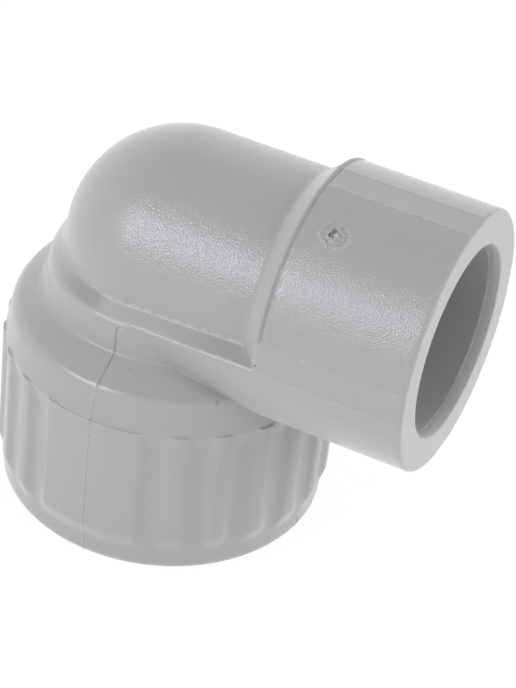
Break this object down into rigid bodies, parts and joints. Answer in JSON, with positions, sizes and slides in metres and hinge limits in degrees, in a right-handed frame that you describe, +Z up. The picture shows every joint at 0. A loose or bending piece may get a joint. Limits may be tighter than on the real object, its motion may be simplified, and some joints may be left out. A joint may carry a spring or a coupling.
{
  "type": "threaded pipe elbow",
  "caption": "Right-angle plastic pipe elbow: a smooth welding socket on the side arm, and a ribbed round head that holds a brass internal thread.",
  "frame": {"origin": "centre of the head's end face, on the thread's axis, where the part stands", "axes": "+Z up the head along the thread's axis, +X along the arm and out of the pipe socket's mouth"},
  "size_m": [0.0599, 0.0438, 0.0536],
  "materials": {
    "grey_plastic": "light warm grey polypropylene, moulded, fine matt grain",
    "brass": "turned brass, bare"
  },
  "bodies": {
    "root": {"elbow_body": "grey_plastic", "threaded_insert": "brass"}
  },
  "joints": []
}
